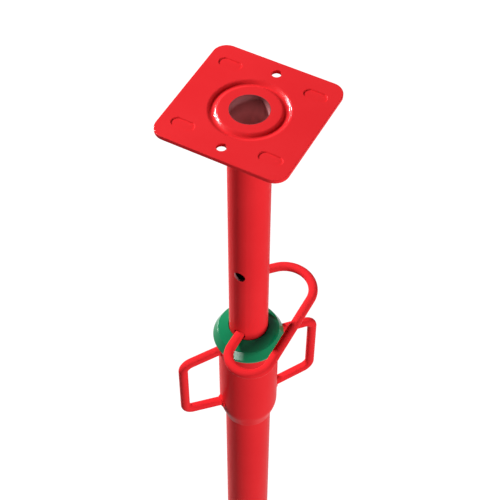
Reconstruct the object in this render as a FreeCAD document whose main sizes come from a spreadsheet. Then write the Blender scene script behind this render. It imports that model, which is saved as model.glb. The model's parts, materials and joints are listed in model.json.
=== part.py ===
import FreeCAD, Part
import os

import Sketcher

# Adjustable steel prop for formwork, with a covered thread.
# Millimetres. +Z is up, and the origin is on the tubes' axis at the underside of the base plate.
# The pin's bar and both pairs of nail holes lie along Y, and the pin's loop stands on the +X side.

doc = FreeCAD.newDocument("steel_prop")

# Driving dimensions
DIMENSIONS = [
    ("plate_side", 150, "side of the square head and base plates"),
    ("plate_thickness", 5, "sheet thickness of both plates"),
    ("plate_corner_radius", 16, "rounded corners of the plates"),
    ("plate_edge_round", 0.8, "rolled edge of the plates"),
    ("nail_hole_spacing", 118, "distance between the two nail holes of a plate"),
    ("nail_hole_dia", 11, "nail hole"),
    ("press_depth", 3, "depth of the pressed ring"),
    ("press_mouth", 10.4, "width of the pressed ring at the plate's face"),
    ("press_floor", 2.4, "width of the pressed ring at its floor"),
    ("press_round", 3.1, "bending radius of the pressed ring"),
    ("head_press_gap", 4.25, "head plate's pressed ring from the toe of the plate's weld"),
    ("drain_hole_margin", 0.05, "edge of a plate's round hole outside the inner tube's bore"),
    ("field_length", 27, "round-ended field pressed in each corner of the head plate"),
    ("field_width", 13, "width of a pressed field"),
    ("field_depth", 1.2, "depth of a pressed field"),
    ("field_draft", 35, "degrees that a field's walls lean"),
    ("field_inset", 25.5, "middle of a field from the plate's edges"),
    ("outer_tube_dia", 60.3, "outer tube, outside"),
    ("outer_tube_wall", 2.9, "outer tube, wall"),
    ("outer_tube_length", 763, "outer tube, length"),
    ("guide_room", 3.1, "room for the guides between the two tubes"),
    ("inner_tube_wall", 3.2, "inner tube, wall"),
    ("inner_tube_length", 1030, "inner tube, length"),
    ("pin_hole_dia", 15, "pin holes through the inner tube"),
    ("first_hole_drop", 247, "top pin hole below the inner tube's top end"),
    ("hole_pitch", 116, "distance from one pin hole to the next"),
    ("hole_count", 5, "pin holes in a row"),
    ("pin_hole_in_use", 2, "which hole holds the pin, counted from the top"),
    ("slide_gap", 0.3, "clearance between pieces that slide in each other"),
    ("seat_bore_gap", 0.5, "clearance of the inner tube in the seat ring"),
    ("bush_length", 36, "guide bush in the outer tube's mouth"),
    ("foot_ring_length", 20, "guide ring at the inner tube's foot"),
    ("stop_ring_length", 12, "stop ring above the foot ring"),
    ("stop_reserve", 1, "gap between stop ring and bush at full height"),
    ("ring_spacing", 30, "least distance between the foot ring and the stop ring"),
    ("guide_weld_leg", 2, "weld of the two guide rings"),
    ("plate_weld_leg", 4.5, "weld of a tube on its plate"),
    ("head_wall", 5.3, "wall of the threaded head round the outer tube, to its thread's crest"),
    ("head_length", 20, "threaded head on the outer tube"),
    ("head_weld_leg", 4, "weld under the threaded head"),
    ("thread_travel", 120, "height that the thread adjusts"),
    ("thread_reserve", 1, "spare thread at full travel"),
    ("sleeve_wall", 2.3, "adjusting sleeve, wall outside its thread's root"),
    ("sleeve_taper_length", 25.5, "closing taper at the sleeve's foot"),
    ("sleeve_lip_wall", 0.8, "wall of the sleeve at its very foot"),
    ("sleeve_lip_height", 5, "height of the neck inside the sleeve's foot"),
    ("sleeve_neck_gap", 0.4, "clearance of the sleeve's foot round the outer tube"),
    ("sleeve_shoulder_round", 40, "rounded shoulder of the sleeve"),
    ("sleeve_edge_round", 0.8, "broken edge at the sleeve's top"),
    ("spigot_length", 5, "spigot of the seat ring in the sleeve"),
    ("stop_gap", 0.3, "seat ring above the outer tube at the lowest setting"),
    ("turning_gap", 0.1, "seat ring above the sleeve's end face"),
    ("seat_height", 23, "seat ring from its underside to the pin's seat"),
    ("seat_dia", 89.2, "seat ring, largest diameter"),
    ("seat_crest_dia", 77, "seat ring, outer edge of its sloping top"),
    ("seat_crest_drop", 7.9, "fall of the sloping top"),
    ("seat_shoulder_drop", 20, "largest diameter below the pin's seat"),
    ("seat_foot_dia", 88, "seat ring, diameter of its underside"),
    ("seat_crest_round", 2, "rounded crest of the seat ring"),
    ("seat_shoulder_round", 4, "rounded shoulder of the seat ring"),
    ("seat_bore_chamfer", 0.8, "chamfer round the seat ring's bore"),
    ("pin_seat_gap", 0.2, "pin above its seat"),
    ("pin_rod_dia", 12, "round bar of the pin"),
    ("pin_tip_reach", 30, "pin's tip beyond the axis"),
    ("pin_bend_reach", 45, "start of the pin's first bend from the axis"),
    ("pin_bend_radius", 26.5, "pin's first bend, on the bar's middle line"),
    ("pin_leg_reach", 64.5, "end of the pin's leg beyond the axis"),
    ("pin_loop_radius", 36, "pin's back loop, on the bar's middle line"),
    ("pin_loop_angle", 135, "degrees that the back loop turns"),
    ("pin_tail_length", 42, "straight tail of the pin"),
    ("pin_tip_chamfer", 2, "chamfer at the pin's tip"),
    ("handle_rod_dia", 12, "round bar of the handles"),
    ("handle_seat_depth", 1.8, "where a handle's bar starts inside the sleeve, before it is coped"),
    ("handle_reach", 89.5, "handle's outer bar from the axis, to the bar's middle line"),
    ("handle_bend_radius", 13, "handle's bends, on the bar's middle line"),
    ("handle_upper_drop", 12.6, "handle's upper end below the sleeve's top"),
    ("handle_lower_drop", 133, "handle's lower end below the sleeve's top"),
    ("handle_upper_slope", 8, "degrees that the upper bar falls outwards"),
    ("handle_lower_slope", 13, "degrees that the lower bar rises outwards"),
    ("handle_azimuth", 51.7, "degrees from +X to the first handle"),
    ("handle_weld_leg", 3, "weld of a handle's end"),
]

sheet = doc.addObject("Spreadsheet::Sheet", "Dims")
for row, (alias, size, meaning) in enumerate(DIMENSIONS, start=1):
    sheet.set(f"A{row}", meaning)
    sheet.set(f"B{row}", str(size))
    sheet.setAlias(f"B{row}", alias)
doc.recompute()

# Radii and lengths that follow from the driving dimensions
OUTER_R = "Dims.outer_tube_dia / 2"
OUTER_BORE_R = "(Dims.outer_tube_dia / 2 - Dims.outer_tube_wall)"
INNER_R = f"({OUTER_BORE_R} - Dims.guide_room)"
INNER_BORE_R = f"({INNER_R} - Dims.inner_tube_wall)"
PLATE_HOLE_R = f"({INNER_BORE_R} + Dims.drain_hole_margin)"
THREAD_R = f"({OUTER_R} + Dims.head_wall)"
SLEEVE_BORE_R = f"({THREAD_R} + Dims.slide_gap)"
SLEEVE_R = f"({SLEEVE_BORE_R} + Dims.sleeve_wall)"
NECK_R = f"({OUTER_R} + Dims.sleeve_neck_gap)"
SLEEVE_STRAIGHT = (
    "(Dims.spigot_length + Dims.stop_gap + Dims.head_length + Dims.thread_travel"
    " + Dims.thread_reserve)"
)
SLEEVE_LENGTH = f"(Dims.sleeve_taper_length + {SLEEVE_STRAIGHT})"
RAISE_TRAVEL = "((Dims.hole_count - Dims.pin_hole_in_use) * Dims.hole_pitch)"

# Heights above the floor at rest
TUBE_TOP = "(Dims.plate_thickness + Dims.outer_tube_length)"
BUSH_FOOT = f"({TUBE_TOP} - Dims.bush_length)"
HEAD_FOOT = f"({TUBE_TOP} - Dims.head_length)"
SLEEVE_TOP = f"({TUBE_TOP} + Dims.stop_gap + Dims.spigot_length)"
SLEEVE_FOOT = f"({SLEEVE_TOP} - {SLEEVE_LENGTH})"
SPIGOT_FOOT = f"({SLEEVE_TOP} + Dims.turning_gap - Dims.spigot_length)"
PIN_SEAT = f"({SLEEVE_TOP} + Dims.turning_gap + Dims.seat_height)"
PIN_AXIS = f"({PIN_SEAT} + Dims.pin_seat_gap + Dims.pin_rod_dia / 2)"
INNER_TOP = f"({PIN_AXIS} + Dims.first_hole_drop + (Dims.pin_hole_in_use - 1) * Dims.hole_pitch)"
INNER_FOOT = f"({INNER_TOP} - Dims.inner_tube_length)"
HEAD_FACE = f"({INNER_TOP} + Dims.plate_thickness)"
FOOT_RING_TOP = f"({INNER_FOOT} + Dims.foot_ring_length)"
STOP_FOR_TRAVEL = (
    f"({BUSH_FOOT} - {RAISE_TRAVEL} - Dims.thread_travel - Dims.stop_reserve - Dims.stop_ring_length)"
)
STOP_RING_FOOT = f"max({STOP_FOR_TRAVEL}; {FOOT_RING_TOP} + Dims.ring_spacing)"

NODES = []


def number(expression):
    """The value of an expression in millimetres or degrees."""
    return float(sheet.evalExpression(expression))


def new_body(label, height):
    """A body on the tubes' axis, raised to a height above the floor."""
    body = doc.addObject("PartDesign::Body", label)
    body.Label = label
    body.setExpression("Placement.Base.z", height)
    NODES.append(body)
    return body


def origin_part(body, role):
    return next(part for part in body.Origin.OriginFeatures if part.Role == role)


def new_sketch(body, name, role):
    sketch = body.newObject("Sketcher::SketchObject", name)
    sketch.AttachmentSupport = [(origin_part(body, role), "")]
    sketch.MapMode = "FlatFace"
    return sketch


def constrain(sketch, expression, *arguments):
    """Adds a dimension and ties it to an expression."""
    place = sketch.addConstraint(Sketcher.Constraint(*arguments, number(expression)))
    sketch.setExpression(f"Constraints[{place}]", expression)


def fix_point(sketch, line, end, across, up):
    """Holds one end of a line at its distances from the sketch's origin."""
    if across == "0":
        sketch.addConstraint(Sketcher.Constraint("PointOnObject", line, end, -2))
    else:
        constrain(sketch, across, "DistanceX", -1, 1, line, end)
    if up == "0":
        sketch.addConstraint(Sketcher.Constraint("PointOnObject", line, end, -1))
    else:
        constrain(sketch, up, "DistanceY", -1, 1, line, end)


def draw_section(sketch, corners, rounds=()):
    """A closed outline through corners given as (radius, height) expressions.

    rounds holds (corner number, radius) for the corners that are rounded.
    """
    spots = [FreeCAD.Vector(number(across), number(up), 0) for across, up in corners]
    count = len(corners)
    for first in range(count):
        sketch.addGeometry(Part.LineSegment(spots[first], spots[(first + 1) % count]))
    for first in range(count):
        sketch.addConstraint(Sketcher.Constraint("Coincident", first, 2, (first + 1) % count, 1))
    for first, (across, up) in enumerate(corners):
        fix_point(sketch, first, 1, across, up)
    for corner, radius in rounds:
        sketch.fillet(corner - 1, 2, number(radius), True, True)
        arc = sketch.GeometryCount - 2
        constrain(sketch, radius, "Radius", arc)


def turn_section(body, kind, name, corners, rounds=()):
    """Turns a section once round the body's Z axis, as a solid or as a cut."""
    sketch = new_sketch(body, name + "_section", "XZ_Plane")
    draw_section(sketch, corners, rounds)
    feature = body.newObject("PartDesign::" + kind, name)
    feature.Profile = sketch
    feature.ReferenceAxis = (sketch, ["V_Axis"])
    feature.Angle = 360
    doc.recompute()
    return feature


def add_circle(sketch, radius, up="0"):
    """A circle on the sketch's vertical axis."""
    centre = FreeCAD.Vector(0, number(up), 0)
    circle = sketch.addGeometry(Part.Circle(centre, FreeCAD.Vector(0, 0, 1), number(radius)))
    fix_point(sketch, circle, 3, "0", up)
    constrain(sketch, radius, "Radius", circle)


def cut_through(body, name, sketch, middle=False):
    """Cuts a sketch's outlines all the way through the body."""
    pocket = body.newObject("PartDesign::Pocket", name)
    pocket.Profile = sketch
    pocket.Type = "ThroughAll"
    pocket.Midplane = middle
    pocket.Reversed = not middle
    doc.recompute()
    return pocket


def round_edges(body, kind, name, radius, wanted):
    """A fillet or chamfer on those of the body's edges that wanted() picks."""
    base = body.Tip
    edges = [f"Edge{i}" for i, edge in enumerate(base.Shape.Edges, start=1) if wanted(edge)]
    feature = body.newObject("PartDesign::" + kind, name)
    feature.Base = (base, edges)
    feature.setExpression("Size" if kind == "Chamfer" else "Radius", radius)
    doc.recompute()


def is_ring_at(edge, radius, height):
    """True for a full circle of that radius at that height."""
    if not isinstance(edge.Curve, Part.Circle):
        return False
    same_radius = abs(edge.Curve.Radius - number(radius)) < 0.01
    return same_radius and abs(edge.Curve.Center.z - number(height)) < 0.01


def tube(label, height, outside_r, bore_r, length):
    """A plain length of tube, or a ring cut from one."""
    body = new_body(label, height)
    sketch = new_sketch(body, label + "_end", "XY_Plane")
    add_circle(sketch, outside_r)
    add_circle(sketch, bore_r)
    pad = body.newObject("PartDesign::Pad", label + "_length")
    pad.Profile = sketch
    pad.setExpression("Length", length)
    doc.recompute()
    return body


def ring_weld(label, height, tube_r, leg, flat_side_up):
    """A fillet weld all round a tube, against a flat face below it or above it."""
    body = new_body(label, height)
    toe = f"({tube_r} + {leg})"
    flat, tip = (leg, "0") if flat_side_up else ("0", leg)
    turn_section(body, "Revolution", label + "_bead", [(tube_r, flat), (toe, flat), (tube_r, tip)])


def bend(sketch, centre, radius, first, last):
    """An arc in a path, with angles in degrees."""
    circle = Part.Circle(FreeCAD.Vector(*centre, 0), FreeCAD.Vector(0, 0, 1), radius)
    start, end = (FreeCAD.Units.Quantity(f"{angle} deg").getValueAs("rad").Value for angle in (first, last))
    return sketch.addGeometry(Part.ArcOfCircle(circle, start, end))


def sweep_rod(body, name, path, diameter):
    """Sweeps a round bar along the edges of a path sketch."""
    doc.recompute()
    section = body.newObject("Sketcher::SketchObject", name + "_section")
    section.AttachmentSupport = [(path, "Edge1")]
    section.MapMode = "NormalToEdge"
    section.MapPathParameter = 0
    add_circle(section, diameter + " / 2")
    doc.recompute()
    rod = body.newObject("PartDesign::AdditivePipe", name)
    rod.Profile = section
    rod.Spine = (path, [f"Edge{i}" for i in range(1, path.GeometryCount + 1)])
    doc.recompute()
    return rod


# Plates
# Square steel pressings. A ring pressed into the bearing face stiffens the sheet, and its back
# stands up on the side of the tube. The bearing face is the body's own zero height.
def pressed_plate(label, height, press_radius, turned_over):
    body = new_body(label, height)
    if turned_over:
        body.Placement.Rotation = FreeCAD.Rotation(FreeCAD.Vector(1, 0, 0), 180)

    outline = new_sketch(body, label + "_outline", "XY_Plane")
    half = number("Dims.plate_side / 2")
    corners = [(-half, -half), (half, -half), (half, half), (-half, half)]
    for first in range(4):
        start, end = corners[first], corners[(first + 1) % 4]
        outline.addGeometry(Part.LineSegment(FreeCAD.Vector(*start, 0), FreeCAD.Vector(*end, 0)))
    for first in range(4):
        outline.addConstraint(Sketcher.Constraint("Coincident", first, 2, (first + 1) % 4, 1))
        kind = "Vertical" if first % 2 else "Horizontal"
        outline.addConstraint(Sketcher.Constraint(kind, first))
    outline.addConstraint(Sketcher.Constraint("Symmetric", 0, 1, 2, 1, -1, 1))
    constrain(outline, "Dims.plate_side", "DistanceX", 0, 1, 0, 2)
    constrain(outline, "Dims.plate_side", "DistanceY", 1, 1, 1, 2)
    pad = body.newObject("PartDesign::Pad", label + "_sheet")
    pad.Profile = outline
    pad.setExpression("Length", "Dims.plate_thickness")
    doc.recompute()

    thickness = "Dims.plate_thickness"
    mouth = "Dims.press_mouth / 2"
    floor = "Dims.press_floor / 2"
    for kind, name, foot in (("Groove", "_groove", "0"), ("Revolution", "_ridge", thickness)):
        raised = f"{foot} + Dims.press_depth"
        turn_section(body, kind, label + name, [
            (f"{press_radius} - {mouth}", foot),
            (f"{press_radius} + {mouth}", foot),
            (f"{press_radius} + {floor}", raised),
            (f"{press_radius} - {floor}", raised),
        ])

    holes = new_sketch(body, label + "_holes", "XY_Plane")
    add_circle(holes, PLATE_HOLE_R)
    add_circle(holes, "Dims.nail_hole_dia / 2", "Dims.nail_hole_spacing / 2")
    add_circle(holes, "Dims.nail_hole_dia / 2", "-Dims.nail_hole_spacing / 2")
    cut_through(body, label + "_punched", holes)

    def is_corner(edge):
        upright = abs(edge.tangentAt(edge.FirstParameter).z) > 0.99
        return upright and isinstance(edge.Curve, Part.Line)

    round_edges(body, "Fillet", label + "_corners", "Dims.plate_corner_radius", is_corner)

    def is_press_edge(edge):
        return any(
            is_ring_at(edge, f"{press_radius} {side} {width}", f"{foot} + {rise}")
            for side in "+-"
            for width, rise in ((mouth, "0"), (floor, "Dims.press_depth"))
            for foot in ("0", thickness)
        )

    round_edges(body, "Fillet", label + "_bends", "Dims.press_round", is_press_edge)

    corner_reach = number("Dims.plate_side / 2 - Dims.plate_corner_radius")

    def is_outer_edge(edge):
        level = abs(edge.tangentAt(edge.FirstParameter).z) < 0.01
        middle = edge.valueAt((edge.FirstParameter + edge.LastParameter) / 2)
        return level and max(abs(middle.x), abs(middle.y)) > corner_reach

    round_edges(body, "Fillet", label + "_edge", "Dims.plate_edge_round", is_outer_edge)
    return body


def press_fields(body, label):
    """Four shallow round-ended fields in the bearing face, one near each corner."""
    sketch = new_sketch(body, label + "_field_outlines", "XY_Plane")
    end_r = number("Dims.field_width / 2")
    for side_x in ("", "-"):
        for side_y in ("", "-"):
            up = f"{side_y}(Dims.plate_side / 2 - Dims.field_inset)"
            middle = f"{side_x}(Dims.plate_side / 2 - Dims.field_inset)"
            half_run = "(Dims.field_length - Dims.field_width) / 2"
            left, right = f"{middle} - {half_run}", f"{middle} + {half_run}"
            left_x, right_x, y = number(left), number(right), number(up)
            first = bend(sketch, (left_x, y), end_r, 90, 270)
            last = bend(sketch, (right_x, y), end_r, 270, 450)
            sides = [(FreeCAD.Vector(left_x, level, 0), FreeCAD.Vector(right_x, level, 0))
                     for level in (y + end_r, y - end_r)]
            upper, lower = (sketch.addGeometry(Part.LineSegment(*ends)) for ends in sides)
            for arc, arc_end, line, line_end in (
                (first, 1, upper, 1), (first, 2, lower, 1), (last, 1, lower, 2), (last, 2, upper, 2),
            ):
                sketch.addConstraint(Sketcher.Constraint("Tangent", arc, arc_end, line, line_end))
            sketch.addConstraint(Sketcher.Constraint("Equal", first, last))
            fix_point(sketch, first, 3, left, up)
            fix_point(sketch, last, 3, right, up)
            constrain(sketch, "Dims.field_width / 2", "Radius", first)
    pocket = body.newObject("PartDesign::Pocket", label + "_fields")
    pocket.Profile = sketch
    pocket.Reversed = True
    pocket.setExpression("Length", "Dims.field_depth")
    pocket.setExpression("TaperAngle", "-Dims.field_draft * 1 deg")
    doc.recompute()


# The base plate's ring lies midway between the weld's toe and the nail holes' edges.
base_weld_toe = f"{OUTER_R} + Dims.plate_weld_leg"
nail_hole_edge = "Dims.nail_hole_spacing / 2 - Dims.nail_hole_dia / 2"
base_press_r = f"(({base_weld_toe} + {nail_hole_edge}) / 2)"
head_press_r = f"({INNER_R} + Dims.plate_weld_leg + Dims.head_press_gap + Dims.press_mouth / 2)"
pressed_plate("base_plate", "0", base_press_r, False)
head_plate = pressed_plate("head_plate", HEAD_FACE, head_press_r, True)
press_fields(head_plate, "head_plate")

# Outer tube
# It stands on the base plate. The male thread is on a short head welded round its top, and a
# bush in its mouth guides the inner tube.
tube("outer_tube", "Dims.plate_thickness", OUTER_R, OUTER_BORE_R, "Dims.outer_tube_length")
ring_weld("base_plate_weld", "Dims.plate_thickness", OUTER_R, "Dims.plate_weld_leg", False)
tube("threaded_head", HEAD_FOOT, THREAD_R, OUTER_R, "Dims.head_length")
ring_weld("threaded_head_weld", f"{HEAD_FOOT} - Dims.head_weld_leg", OUTER_R, "Dims.head_weld_leg", True)
tube("guide_bush", BUSH_FOOT, OUTER_BORE_R, f"({INNER_R} + Dims.slide_gap)", "Dims.bush_length")

# Inner tube
# It carries the head plate. The row of holes for the pin goes through both walls along Y.
inner = tube("inner_tube", INNER_FOOT, INNER_R, INNER_BORE_R, "Dims.inner_tube_length")
last_hole_up = (
    "Dims.inner_tube_length - Dims.first_hole_drop - (Dims.hole_count - 1) * Dims.hole_pitch"
)
hole_sketch = new_sketch(inner, "last_pin_hole", "XZ_Plane")
add_circle(hole_sketch, "Dims.pin_hole_dia / 2", last_hole_up)
last_hole = cut_through(inner, "last_hole", hole_sketch, middle=True)
hole_row = inner.newObject("PartDesign::LinearPattern", "pin_holes")
hole_row.Originals = [last_hole]
hole_row.Direction = (hole_sketch, ["V_Axis"])
hole_row.setExpression("Length", "(Dims.hole_count - 1) * Dims.hole_pitch")
hole_row.setExpression("Occurrences", "Dims.hole_count")
inner.Tip = hole_row
doc.recompute()

ring_weld("head_plate_weld", f"{INNER_TOP} - Dims.plate_weld_leg", INNER_R, "Dims.plate_weld_leg", True)

# Guide rings
# Two rings welded on the inner tube keep it straight in the outer tube, and the upper one
# meets the bush before the tubes can part.
GUIDE_R = f"({OUTER_BORE_R} - Dims.slide_gap)"
tube("foot_ring", INNER_FOOT, GUIDE_R, INNER_R, "Dims.foot_ring_length")
ring_weld("foot_ring_weld", FOOT_RING_TOP, INNER_R, "Dims.guide_weld_leg", False)
tube("stop_ring", STOP_RING_FOOT, GUIDE_R, INNER_R, "Dims.stop_ring_length")
ring_weld("stop_ring_weld", f"{STOP_RING_FOOT} - Dims.guide_weld_leg", INNER_R, "Dims.guide_weld_leg", True)

# Adjusting sleeve
# A thick tube with the female thread inside. Its foot is drawn in round the outer tube, so that
# the thread stays covered.
sleeve = new_body("adjusting_sleeve", SLEEVE_FOOT)
turn_section(sleeve, "Revolution", "sleeve_turned", [
    (NECK_R, "0"),
    (f"{NECK_R} + Dims.sleeve_lip_wall", "0"),
    (SLEEVE_R, "Dims.sleeve_taper_length"),
    (SLEEVE_R, SLEEVE_LENGTH),
    (SLEEVE_BORE_R, SLEEVE_LENGTH),
    (SLEEVE_BORE_R, "Dims.sleeve_taper_length"),
    (NECK_R, "Dims.sleeve_lip_height"),
], rounds=[(2, "Dims.sleeve_shoulder_round")])
round_edges(sleeve, "Fillet", "sleeve_top_edge", "Dims.sleeve_edge_round",
            lambda edge: is_ring_at(edge, SLEEVE_R, SLEEVE_LENGTH))

# Pin seat ring
# A cast ring on the sleeve's end face, centred by its spigot. It rises with the sleeve without
# turning, and the pin lies on its sloping top.
seat = new_body("pin_seat_ring", SPIGOT_FOOT)
seat_bore_r = f"({INNER_R} + Dims.seat_bore_gap)"
seat_top = "(Dims.spigot_length + Dims.seat_height)"
spigot_r = f"({SLEEVE_BORE_R} - Dims.slide_gap)"
crest = ("Dims.seat_crest_dia / 2", f"{seat_top} - Dims.seat_crest_drop")
shoulder = ("Dims.seat_dia / 2", f"{seat_top} - Dims.seat_shoulder_drop")
turn_section(seat, "Revolution", "seat_cast", [
    (seat_bore_r, "0"),
    (spigot_r, "0"),
    (spigot_r, "Dims.spigot_length"),
    ("Dims.seat_foot_dia / 2", "Dims.spigot_length"),
    shoulder,
    crest,
    (seat_bore_r, seat_top),
])
round_edges(seat, "Fillet", "seat_crest", "Dims.seat_crest_round",
            lambda edge: is_ring_at(edge, *crest))
round_edges(seat, "Fillet", "seat_shoulder", "Dims.seat_shoulder_round",
            lambda edge: is_ring_at(edge, *shoulder))
round_edges(seat, "Chamfer", "seat_bore_edge", "Dims.seat_bore_chamfer",
            lambda edge: is_ring_at(edge, seat_bore_r, seat_top))

# Pin
# One length of round bar bent flat. The straight bar goes through the tube, and the loop behind
# the tube keeps the pin from being lost.
pin = new_body("g_pin", PIN_AXIS)
pin_path = new_sketch(pin, "pin_path", "XY_Plane")
tip_y, leg_y = number("Dims.pin_tip_reach"), number("Dims.pin_leg_reach")
bend_y = -number("Dims.pin_bend_reach")
bend_r, loop_r = number("Dims.pin_bend_radius"), number("Dims.pin_loop_radius")
leg_x = 2 * bend_r
loop_x = leg_x - loop_r
loop_angle = number("Dims.pin_loop_angle")
pin_path.addGeometry(Part.LineSegment(FreeCAD.Vector(0, tip_y, 0), FreeCAD.Vector(0, bend_y, 0)))
bend(pin_path, (bend_r, bend_y), bend_r, 180, 360)
pin_path.addGeometry(Part.LineSegment(FreeCAD.Vector(leg_x, bend_y, 0), FreeCAD.Vector(leg_x, leg_y, 0)))
loop = bend(pin_path, (loop_x, leg_y), loop_r, 0, loop_angle)
loop_end = pin_path.Geometry[loop].EndPoint
tail_way = FreeCAD.Rotation(FreeCAD.Vector(0, 0, 1), loop_angle + 90).multVec(FreeCAD.Vector(1, 0, 0))
pin_path.addGeometry(Part.LineSegment(loop_end, loop_end + tail_way * number("Dims.pin_tail_length")))
fix_point(pin_path, 0, 1, "0", "Dims.pin_tip_reach")
fix_point(pin_path, 0, 2, "0", "-Dims.pin_bend_reach")
for piece, end in ((0, 2), (1, 2), (2, 2), (3, 2)):
    pin_path.addConstraint(Sketcher.Constraint("Tangent", piece, end, piece + 1, 1))
constrain(pin_path, "Dims.pin_bend_radius", "Radius", 1)
pin_path.addConstraint(Sketcher.Constraint("Vertical", 2))
constrain(pin_path, "Dims.pin_leg_reach", "DistanceY", -1, 1, 2, 2)
constrain(pin_path, "Dims.pin_loop_radius", "Radius", 3)
constrain(pin_path, "Dims.pin_loop_angle * 1 deg", "Angle", 3)
constrain(pin_path, "Dims.pin_tail_length", "Distance", 4)
sweep_rod(pin, "pin_bar", pin_path, "Dims.pin_rod_dia")
round_edges(pin, "Chamfer", "pin_tip", "Dims.pin_tip_chamfer",
            lambda edge: isinstance(edge.Curve, Part.Circle) and abs(edge.Curve.Center.y - tip_y) < 0.01)


# Handles
# Two loops of round bar, butted against the sleeve on opposite sides and welded at both ends.
HANDLE_START = f"({SLEEVE_R} - Dims.handle_seat_depth)"
UPPER_UP = f"({SLEEVE_LENGTH} - Dims.handle_upper_drop)"
LOWER_UP = f"({SLEEVE_LENGTH} - Dims.handle_lower_drop)"


def turn_about_axis(piece, turn):
    """Turns a finished piece about the tubes' axis by an angle expression in degrees."""
    piece.Placement.Rotation = FreeCAD.Rotation(FreeCAD.Vector(0, 0, 1), number(turn))
    piece.setExpression("Placement.Rotation.Angle", turn)


def handle(label, turn):
    body = new_body(label, SLEEVE_FOOT)
    path = new_sketch(body, label + "_path", "XZ_Plane")
    start, reach = number(HANDLE_START), number("Dims.handle_reach")
    upper, lower = number(UPPER_UP), number(LOWER_UP)
    radius = number("Dims.handle_bend_radius")
    bend_x = reach - radius
    path.addGeometry(Part.LineSegment(FreeCAD.Vector(start, upper, 0),
                                      FreeCAD.Vector(bend_x, upper - radius, 0)))
    bend(path, (bend_x, upper - 2 * radius), radius, 0, 90 - number("Dims.handle_upper_slope"))
    path.addGeometry(Part.LineSegment(FreeCAD.Vector(reach, upper - 2 * radius, 0),
                                      FreeCAD.Vector(reach, lower + 2 * radius, 0)))
    bend(path, (bend_x, lower + 2 * radius), radius, 270 + number("Dims.handle_lower_slope"), 360)
    path.addGeometry(Part.LineSegment(FreeCAD.Vector(bend_x, lower + radius, 0),
                                      FreeCAD.Vector(start, lower, 0)))
    for first, its_end, second, start_of_next in ((0, 2, 1, 2), (1, 1, 2, 1), (2, 2, 3, 2), (3, 1, 4, 1)):
        path.addConstraint(Sketcher.Constraint("Tangent", first, its_end, second, start_of_next))
    fix_point(path, 0, 1, HANDLE_START, UPPER_UP)
    fix_point(path, 4, 2, HANDLE_START, LOWER_UP)
    path.addConstraint(Sketcher.Constraint("Vertical", 2))
    constrain(path, "Dims.handle_reach", "DistanceX", -1, 1, 2, 1)
    constrain(path, "Dims.handle_bend_radius", "Radius", 1)
    constrain(path, "Dims.handle_bend_radius", "Radius", 3)
    constrain(path, "-Dims.handle_upper_slope * 1 deg", "Angle", 0)
    constrain(path, "(180 + Dims.handle_lower_slope) * 1 deg", "Angle", 4)
    sweep_rod(body, label + "_bar", path, "Dims.handle_rod_dia")
    cope = body.newObject("PartDesign::SubtractiveCylinder", label + "_coped")
    cope.setExpression("Radius", SLEEVE_R)
    cope.setExpression("Height", SLEEVE_LENGTH)
    doc.recompute()
    turn_about_axis(body, turn)


def handle_weld(label, up, slope, turn):
    """A weld bead round one end of a handle, where it meets the sleeve."""
    bead = doc.addObject("Part::Cone", label + "_bead")
    bead.Placement.Rotation = FreeCAD.Rotation(FreeCAD.Vector(0, 1, 0), 90)
    bead.setExpression("Radius1", "Dims.handle_rod_dia / 2 + Dims.handle_weld_leg")
    bead.setExpression("Radius2", "Dims.handle_rod_dia / 2")
    bead.setExpression("Height", "Dims.handle_weld_leg + Dims.handle_seat_depth")
    bar = doc.addObject("Part::Cylinder", label + "_bar")
    bar.Placement.Rotation = FreeCAD.Rotation(FreeCAD.Vector(0, 1, 0), 90 + number(slope))
    bar.setExpression("Placement.Rotation.Angle", f"90 + {slope}")
    bar.setExpression("Radius", "Dims.handle_rod_dia / 2")
    bar.setExpression("Height", f"Dims.handle_reach - {SLEEVE_R}")
    wall = doc.addObject("Part::Cylinder", label + "_wall")
    wall.setExpression("Radius", SLEEVE_R)
    wall.setExpression("Height", SLEEVE_LENGTH)
    for piece in (bead, bar):
        piece.setExpression("Placement.Base.x", HANDLE_START)
        piece.setExpression("Placement.Base.z", up)
    hollow = doc.addObject("Part::MultiFuse", label + "_hollow")
    hollow.Shapes = [bar, wall]
    weld = doc.addObject("Part::Cut", label)
    weld.Label = label
    weld.Base = bead
    weld.Tool = hollow
    weld.setExpression("Placement.Base.z", SLEEVE_FOOT)
    doc.recompute()
    turn_about_axis(weld, turn)
    NODES.append(weld)


for side, turn in (("right", "Dims.handle_azimuth"), ("left", "Dims.handle_azimuth + 180")):
    handle(f"handle_{side}", turn)
    handle_weld(f"handle_{side}_upper_weld", UPPER_UP, "Dims.handle_upper_slope", turn)
    handle_weld(f"handle_{side}_lower_weld", LOWER_UP, "-Dims.handle_lower_slope", turn)

# Check and write
doc.recompute()
for item in doc.Objects:
    if {"Invalid", "Error"} & set(item.State):
        raise RuntimeError(f"{item.Label} did not build: {item.State}")
    if item.isDerivedFrom("Sketcher::SketchObject") and not item.FullyConstrained:
        raise RuntimeError(f"{item.Label} is not fully constrained")
for node in NODES:
    if node.Shape.isNull() or not node.Shape.isValid() or not node.Shape.Solids:
        raise RuntimeError(f"{node.Label} has no valid solid")

os.makedirs("parts", exist_ok=True)
for node in NODES:
    node.Shape.exportStep(f"parts/{node.Label}.step")
    box = node.Shape.BoundBox
    print(f"{node.Label}: z {box.ZMin:.2f} to {box.ZMax:.2f}, volume {node.Shape.Volume / 1000:.2f} cm3")
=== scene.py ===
import json
import math

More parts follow.
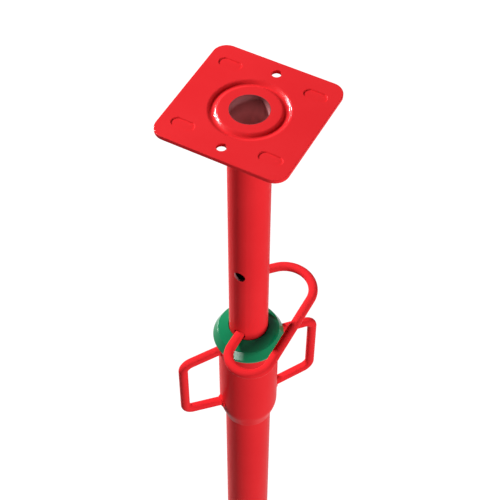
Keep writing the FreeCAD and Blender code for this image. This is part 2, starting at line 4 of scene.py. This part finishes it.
import bpy
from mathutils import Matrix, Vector

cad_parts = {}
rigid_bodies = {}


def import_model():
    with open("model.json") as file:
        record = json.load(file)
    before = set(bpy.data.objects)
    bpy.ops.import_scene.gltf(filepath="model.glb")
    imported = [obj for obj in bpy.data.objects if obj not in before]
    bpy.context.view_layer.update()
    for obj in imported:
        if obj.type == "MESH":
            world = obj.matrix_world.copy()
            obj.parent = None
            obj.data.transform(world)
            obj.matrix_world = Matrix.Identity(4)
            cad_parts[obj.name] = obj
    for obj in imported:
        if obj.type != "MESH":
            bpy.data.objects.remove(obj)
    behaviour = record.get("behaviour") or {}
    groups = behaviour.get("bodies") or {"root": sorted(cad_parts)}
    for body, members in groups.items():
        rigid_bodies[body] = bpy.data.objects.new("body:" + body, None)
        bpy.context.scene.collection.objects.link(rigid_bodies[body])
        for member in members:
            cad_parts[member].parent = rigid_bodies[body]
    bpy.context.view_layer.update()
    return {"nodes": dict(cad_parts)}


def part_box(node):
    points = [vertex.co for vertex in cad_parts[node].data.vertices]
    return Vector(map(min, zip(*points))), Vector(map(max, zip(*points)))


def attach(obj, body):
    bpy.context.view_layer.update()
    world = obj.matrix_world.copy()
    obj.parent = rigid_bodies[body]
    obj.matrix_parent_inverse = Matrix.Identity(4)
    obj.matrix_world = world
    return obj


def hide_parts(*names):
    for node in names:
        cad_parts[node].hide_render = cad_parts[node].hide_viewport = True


# Adjustable steel prop, standing on its base plate with the thread screwed down.
# Metres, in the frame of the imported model: +Z is up and the tubes' axis is at x 0, y 0.

for item in list(bpy.data.objects):
    bpy.data.objects.remove(item)
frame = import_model()
head_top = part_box("head_plate")[1].z

# Camera
# A long lens that looks down on the head plate from the side of the right handle. The plate is
# near, so the tubes taper away below it.
camera_reach = Vector((0.42267, -0.79768, 0.90673))
bpy.ops.object.camera_add(
    location=camera_reach + Vector((0, 0, head_top)),
    rotation=(math.radians(38.507), math.radians(-0.226), math.radians(28.125)),
)
camera = bpy.context.object
camera.data.sensor_width = 36
camera.data.lens = 90.73
camera.data.clip_end = 50
bpy.context.scene.camera = camera


# Base plate
# A square of 5 mm sheet with rounded corners, a pressed ring and two nail holes. The whole prop
# is dipped in red paint, which dries to a satin and runs out even, with a trace of orange peel.
def paint(name, colour, shade, sheen_from, sheen_to, peel, shine):
    """Poured or dipped enamel: a slow drift between two tones, and a fine skin of orange peel."""
    material = bpy.data.materials.new(name)
    material.use_nodes = True
    nodes, links = material.node_tree.nodes, material.node_tree.links
    shader = nodes["Principled BSDF"]
    place = nodes.new("ShaderNodeTexCoord")

    drift = nodes.new("ShaderNodeTexNoise")
    drift.inputs["Scale"].default_value = 14
    drift.inputs["Detail"].default_value = 3
    tones = nodes.new("ShaderNodeValToRGB")
    tones.color_ramp.elements[0].position = 0.35
    tones.color_ramp.elements[0].color = (*shade, 1)
    tones.color_ramp.elements[1].position = 0.65
    tones.color_ramp.elements[1].color = (*colour, 1)
    links.new(place.outputs["Object"], drift.inputs["Vector"])
    links.new(drift.outputs["Fac"], tones.inputs["Fac"])
    links.new(tones.outputs["Color"], shader.inputs["Base Color"])

    flow = nodes.new("ShaderNodeTexNoise")
    flow.inputs["Scale"].default_value = 60
    gloss = nodes.new("ShaderNodeMapRange")
    gloss.inputs["To Min"].default_value = sheen_from
    gloss.inputs["To Max"].default_value = sheen_to
    links.new(place.outputs["Object"], flow.inputs["Vector"])
    links.new(flow.outputs["Fac"], gloss.inputs["Value"])
    links.new(gloss.outputs["Result"], shader.inputs["Roughness"])

    skin = nodes.new("ShaderNodeTexNoise")
    skin.inputs["Scale"].default_value = 420
    bump = nodes.new("ShaderNodeBump")
    bump.inputs["Strength"].default_value = peel
    bump.inputs["Distance"].default_value = 0.0004
    links.new(place.outputs["Object"], skin.inputs["Vector"])
    links.new(skin.outputs["Fac"], bump.inputs["Height"])
    links.new(bump.outputs["Normal"], shader.inputs["Normal"])
    shader.inputs["IOR"].default_value = 1.45
    shader.inputs["Specular IOR Level"].default_value = shine
    return material


def dress(node, material):
    """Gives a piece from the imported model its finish."""
    piece = frame["nodes"][node]
    piece.data.materials.clear()
    piece.data.materials.append(material)
    return piece


red_paint = paint(
    "dipped_red_paint", colour=(0.86, 0.028, 0.034), shade=(0.83, 0.024, 0.030),
    sheen_from=0.26, sheen_to=0.34, peel=0.03, shine=0.01,
)
dress("base_plate", red_paint)


slices_per_wave = 3


def ripple(bead, waves, rise):
    """Lifts every third slice of a ring about Z, as a weld is left by its stops."""
    bpy.ops.object.mode_set(mode="EDIT")
    bpy.ops.mesh.select_all(action="DESELECT")
    bpy.ops.object.mode_set(mode="OBJECT")
    for point in bead.data.vertices:
        slice_number = round(math.atan2(point.co.y, point.co.x) / math.tau * slices_per_wave * waves)
        point.select = slice_number % slices_per_wave == 0
    bpy.ops.object.mode_set(mode="EDIT")
    bpy.ops.transform.shrink_fatten(value=rise)
    bpy.ops.object.mode_set(mode="OBJECT")


def roughen(bead):
    """Makes the width of a weld uneven."""
    lumps = bpy.data.textures.new(bead.name + "_lumps", "CLOUDS")
    lumps.noise_scale = 0.007
    bpy.ops.object.modifier_add(type="DISPLACE")
    uneven = bead.modifiers[-1]
    uneven.texture = lumps
    uneven.strength = 0.0009
    bpy.ops.object.modifier_apply(modifier=uneven.name)
    bpy.ops.object.shade_smooth()


def finish_weld(bead, node, body):
    """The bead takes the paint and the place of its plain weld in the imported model."""
    bpy.ops.object.transform_apply(location=True, rotation=True, scale=True)
    bead.data.materials.append(red_paint)
    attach(bead, body)
    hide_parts(node)


ripple_length = 0.0029


def ring_bead(node, tube_radius, plate_above, body):
    """A fillet weld all round a tube, where it meets its plate."""
    low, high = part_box(node)
    leg = high.z - low.z
    stand_off, thickness = 0.28 * leg, 0.6 * leg
    height = high.z - stand_off if plate_above else low.z + stand_off
    waves = round(math.tau * tube_radius / ripple_length)
    bpy.ops.object.select_all(action="DESELECT")
    bpy.ops.mesh.primitive_torus_add(
        major_radius=tube_radius + stand_off, minor_radius=thickness,
        major_segments=slices_per_wave * waves, minor_segments=12,
    )
    bead = bpy.context.object
    bead.name = node + "_bead"
    ripple(bead, waves, rise=0.00035)
    roughen(bead)
    bead.location.z = height
    finish_weld(bead, node, body)


outer_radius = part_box("outer_tube")[1].x
ring_bead("base_plate_weld", outer_radius, plate_above=False, body="lower")

# Outer tube
# A standard 60.3 mm tube that stands on the base plate. The threaded head is welded on its top
# inside the sleeve, and a bush in its mouth guides the inner tube.
dress("outer_tube", red_paint)


def oiled_steel():
    """Turned steel under a film of oil and graphite."""
    material = bpy.data.materials.new("oiled_steel")
    material.use_nodes = True
    nodes, links = material.node_tree.nodes, material.node_tree.links
    shader = nodes["Principled BSDF"]
    shader.inputs["Metallic"].default_value = 1
    place = nodes.new("ShaderNodeTexCoord")
    film = nodes.new("ShaderNodeTexNoise")
    film.inputs["Scale"].default_value = 45
    film.inputs["Detail"].default_value = 6
    tones = nodes.new("ShaderNodeValToRGB")
    tones.color_ramp.elements[0].color = (0.16, 0.14, 0.12, 1)
    tones.color_ramp.elements[1].color = (0.46, 0.45, 0.43, 1)
    gloss = nodes.new("ShaderNodeMapRange")
    gloss.inputs["To Min"].default_value = 0.22
    gloss.inputs["To Max"].default_value = 0.5
    links.new(place.outputs["Object"], film.inputs["Vector"])
    links.new(film.outputs["Fac"], tones.inputs["Fac"])
    links.new(tones.outputs["Color"], shader.inputs["Base Color"])
    links.new(film.outputs["Fac"], gloss.inputs["Value"])
    links.new(gloss.outputs["Result"], shader.inputs["Roughness"])
    return material


steel = oiled_steel()
for node in ("threaded_head", "threaded_head_weld", "guide_bush"):
    dress(node, steel)

# Inner tube
# A 48.3 mm tube with a row of drilled pin holes, which slides in the outer tube on a foot ring and
# is held in by a stop ring. The paint inside it is dull, and its colour there is painted shade and
# light: dark at the top, where the main lamp reaches in, and pale lower down, where the bore is
# shaded.
for node in ("foot_ring", "foot_ring_weld", "stop_ring", "stop_ring_weld"):
    dress(node, steel)
inner_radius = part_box("inner_tube")[1].x
inner_wall = 0.0032
edge_skin = 0.0004
# The depth below the head top over which the bore's painted shade and light are laid out.
painted_shade_depth = 0.1


def paint_inside_with_painted_shade(name, radius):
    """The red paint, dull nearer to the tubes' axis than a radius, with painted shade and light
    there.
    """
    material = red_paint.copy()
    material.name = name
    nodes, links = material.node_tree.nodes, material.node_tree.links
    shader = nodes["Principled BSDF"]
    split = nodes.new("ShaderNodeSeparateXYZ")
    flat = nodes.new("ShaderNodeCombineXYZ")
    reach = nodes.new("ShaderNodeVectorMath")
    reach.operation = "LENGTH"
    inside = nodes.new("ShaderNodeMath")
    inside.operation = "LESS_THAN"
    inside.inputs[1].default_value = radius
    place = next(node for node in nodes if node.type == "TEX_COORD")
    links.new(place.outputs["Object"], split.inputs["Vector"])
    links.new(split.outputs["X"], flat.inputs["X"])
    links.new(split.outputs["Y"], flat.inputs["Y"])
    links.new(flat.outputs["Vector"], reach.inputs[0])
    links.new(reach.outputs["Value"], inside.inputs[0])

    # Painted shade and light down the bore: dark at the top, where the main lamp reaches in, pale
    # from 25 to 60 mm down, where the bore is in shade, and darker again towards 100 mm.
    depth = nodes.new("ShaderNodeMapRange")
    depth.inputs["From Min"].default_value = head_top
    depth.inputs["From Max"].default_value = head_top - painted_shade_depth
    links.new(split.outputs["Z"], depth.inputs["Value"])
    painted_shade_ramp = nodes.new("ShaderNodeValToRGB")
    painted_shade_ramp.color_ramp.elements[0].color = (0.25, 0.055, 0.06, 1)
    painted_shade_ramp.color_ramp.elements[1].color = (0.32, 0.11, 0.115, 1)
    painted_shade_ramp.color_ramp.elements.new(0.25).color = (0.95, 0.48, 0.49, 1)
    painted_shade_ramp.color_ramp.elements.new(0.6).color = (0.95, 0.48, 0.49, 1)
    links.new(depth.outputs["Result"], painted_shade_ramp.inputs["Fac"])

    inside_tone_with_painted_shade = nodes.new("ShaderNodeMix")
    inside_tone_with_painted_shade.data_type = "RGBA"
    links.new(painted_shade_ramp.outputs["Color"], inside_tone_with_painted_shade.inputs["B"])
    tone = shader.inputs["Base Color"].links[0].from_socket
    links.new(inside.outputs[0], inside_tone_with_painted_shade.inputs["Factor"])
    links.new(tone, inside_tone_with_painted_shade.inputs["A"])
    links.new(inside_tone_with_painted_shade.outputs["Result"], shader.inputs["Base Color"])

    dull = nodes.new("ShaderNodeMix")
    dull.inputs["B"].default_value = 1.0
    gloss = shader.inputs["Roughness"].links[0].from_socket
    links.new(inside.outputs[0], dull.inputs["Factor"])
    links.new(gloss, dull.inputs["A"])
    links.new(dull.outputs["Result"], shader.inputs["Roughness"])
    return material


inner_paint = paint_inside_with_painted_shade("inner_tube_paint", inner_radius - edge_skin)
dress("inner_tube", inner_paint)

# Head plate
# The same pressing as the base plate, with four shallow fields in its corners. It bears the beam,
# and is welded all round on the inner tube's top end.
hole_clearance = 0.00005
head_hole_radius = inner_radius - inner_wall + hole_clearance
# Painted shade: the plate's hole wall lies at the top of the bore's colour ramp, so it is coloured
# dark.
head_paint = paint_inside_with_painted_shade("head_plate_paint", head_hole_radius + edge_skin)
dress("head_plate", head_paint)
ring_bead("head_plate_weld", inner_radius, plate_above=True, body="inner")

# Adjusting sleeve
# A thick tube with the female thread inside, whose foot is drawn in round the outer tube. It has
# the same red paint.
dress("adjusting_sleeve", red_paint)
sleeve_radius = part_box("adjusting_sleeve")[1].x

# Handles
# Two loops of 12 mm round bar, bent hot and welded at both ends on opposite sides of the sleeve.
# They turn the sleeve.
bar_radius = 0.006
bead_radius = 0.0019
bead_stand_off = 0.0007
bead_lift = 0.0004


def handle_bead(node):
    """A fillet weld round a bar's end, laid on the round wall of the sleeve."""
    low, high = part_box(node)
    middle = (low + high) / 2
    waves = 19
    bpy.ops.object.select_all(action="DESELECT")
    bpy.ops.mesh.primitive_torus_add(
        major_radius=bar_radius + bead_stand_off, minor_radius=bead_radius,
        major_segments=slices_per_wave * waves, minor_segments=10,
    )
    bead = bpy.context.object
    bead.name = node + "_bead"
    ripple(bead, waves, rise=0.0003)
    roughen(bead)
    bead.rotation_euler.x = math.radians(90)
    bpy.ops.object.transform_apply(rotation=True)
    bpy.ops.object.modifier_add(type="SIMPLE_DEFORM")
    curl = bead.modifiers[-1]
    curl.deform_method = "BEND"
    curl.deform_axis = "Z"
    curl.angle = bead.dimensions.x / sleeve_radius
    bpy.ops.object.modifier_apply(modifier=curl.name)
    bead.location = (0, -sleeve_radius - bead_lift, 0)
    bpy.ops.object.transform_apply(location=True)
    bead.rotation_euler.z = math.atan2(middle.y, middle.x) + math.radians(90)
    bead.location.z = middle.z
    finish_weld(bead, node, "sleeve")


for side in ("right", "left"):
    dress(f"handle_{side}", red_paint)
    for end in ("upper", "lower"):
        handle_bead(f"handle_{side}_{end}_weld")

# Pin seat ring
# A cast ring on the sleeve's end face, enamelled green. Its top slopes down from the bore, and
# the crest and the flared wall below it are smooth and glossy.
green_paint = paint(
    "green_enamel", colour=(0.004, 0.225, 0.09), shade=(0.004, 0.205, 0.08),
    sheen_from=0.08, sheen_to=0.12, peel=0.012, shine=0.1,
)
dress("pin_seat_ring", green_paint)

# Pin
# One length of 12 mm bar, bent flat in a press. Its straight end goes through the inner tube and
# lies on the seat ring, and the loop behind the tubes keeps it from being lost.
dress("g_pin", red_paint)

# Floor and light
# A studio floor and surround that look white. The main lamp stands behind on the left, and a broad
# low one on the right evens out the tubes. Cards give the head plate and the seat ring their glints.
floor_gap = 0.0004
lamplit_radius = 0.8
white_radius = 2.6
bpy.ops.mesh.primitive_plane_add(size=24, location=(0, 0, -floor_gap))
floor = bpy.context.object
floor.name = "studio_floor"


def seen_directly(nodes, links):
    """1 for the camera, mirror and glass rays, else 0."""
    path = nodes.new("ShaderNodeLightPath")
    either = nodes.new("ShaderNodeMath")
    either.operation = "MAXIMUM"
    any_of = nodes.new("ShaderNodeMath")
    any_of.operation = "MAXIMUM"
    links.new(path.outputs["Is Camera Ray"], either.inputs[0])
    links.new(path.outputs["Is Glossy Ray"], either.inputs[1])
    links.new(either.outputs[0], any_of.inputs[0])
    links.new(path.outputs["Is Transmission Ray"], any_of.inputs[1])
    return any_of.outputs[0]


floor_paint = bpy.data.materials.new("white_floor")
floor_paint.use_nodes = True
nodes, links = floor_paint.node_tree.nodes, floor_paint.node_tree.links
shader = nodes["Principled BSDF"]
shader.inputs["Base Color"].default_value = (0.2, 0.2, 0.2, 1)
shader.inputs["Roughness"].default_value = 0.9
shader.inputs["Specular IOR Level"].default_value = 0
shader.inputs["Emission Color"].default_value = (1, 1, 1, 1)
place = nodes.new("ShaderNodeTexCoord")
away = nodes.new("ShaderNodeVectorMath")
away.operation = "LENGTH"
# Far from the prop, where the lamps' light ends, the floor glows as white as the surround.
fade = nodes.new("ShaderNodeMapRange")
fade.inputs["From Min"].default_value = lamplit_radius
fade.inputs["From Max"].default_value = white_radius
fade.inputs["To Min"].default_value = 0.86
fade.inputs["To Max"].default_value = 1.0
glow = nodes.new("ShaderNodeMath")
glow.operation = "MULTIPLY"
links.new(place.outputs["Object"], away.inputs[0])
links.new(away.outputs["Value"], fade.inputs["Value"])
links.new(fade.outputs["Result"], glow.inputs[1])
links.new(seen_directly(nodes, links), glow.inputs[0])
links.new(glow.outputs[0], shader.inputs["Emission Strength"])
floor.data.materials.append(floor_paint)

world = bpy.context.scene.world or bpy.data.worlds.new("studio")
bpy.context.scene.world = world
world.use_nodes = True
nodes, links = world.node_tree.nodes, world.node_tree.links
surround = nodes["Background"]
surround.inputs["Color"].default_value = (1, 1, 1, 1)
level = nodes.new("ShaderNodeMapRange")
level.inputs["To Min"].default_value = 0.04
level.inputs["To Max"].default_value = 1.0
links.new(seen_directly(nodes, links), level.inputs["Value"])
links.new(level.outputs["Result"], surround.inputs["Strength"])


picture_middle = 0.85 * head_top
ring_height = 0.79
lamp_distance = 3


def lamp(name, azimuth, elevation, size, power):
    """A square soft box that faces the middle of what the camera sees."""
    turn, lift = math.radians(azimuth), math.radians(elevation)
    way = Vector((math.cos(turn) * math.cos(lift), math.sin(turn) * math.cos(lift), math.sin(lift)))
    bpy.ops.object.light_add(
        type="AREA",
        location=Vector((0, 0, picture_middle)) + way * lamp_distance,
        rotation=way.to_track_quat("Z", "Y").to_euler(),
    )
    box = bpy.context.object
    box.name = name
    box.data.size = size
    box.data.energy = power
    return box


def glint_card(name, node, azimuth, elevation, size, roll, spread, aim_height, power):
    """A lamp that shows only as a reflection on one piece, and faces the height aim_height."""
    card = lamp(name, azimuth, elevation, size[0], power)
    card.location.z += aim_height - picture_middle
    card.rotation_euler.rotate_axis("Z", math.radians(roll))
    card.data.shape = "RECTANGLE"
    card.data.size_y = size[1]
    card.data.spread = math.radians(spread)
    card.visible_diffuse = False
    shown_on = bpy.data.collections.new(name + "_shown_on")
    shown_on.objects.link(frame["nodes"][node])
    card.light_linking.receiver_collection = shown_on


main_lamp = lamp("main_lamp", azimuth=174.5, elevation=34, size=0.35, power=137)
side_lamp = lamp("side_lamp", azimuth=-20, elevation=8, size=1.2, power=84)
main_lamp.visible_glossy = False
side_lamp.visible_glossy = False
for number, (azimuth, elevation) in enumerate(((166, 13), (176, 19), (187, 26)), start=1):
    glint_card(
        f"plate_card_{number}", "head_plate", azimuth, elevation,
        size=(0.4, 0.4), roll=0, spread=6, aim_height=head_top, power=6.8,
    )
glint_card(
    "ring_card", "pin_seat_ring", azimuth=176, elevation=3,
    size=(2.2, 0.5), roll=30, spread=45, aim_height=ring_height, power=15,
)
glint_card(
    "front_card", "pin_seat_ring", azimuth=-98, elevation=-9,
    size=(3.0, 0.8), roll=0, spread=50, aim_height=ring_height, power=24,
)

bpy.context.scene.view_settings.view_transform = "Standard"
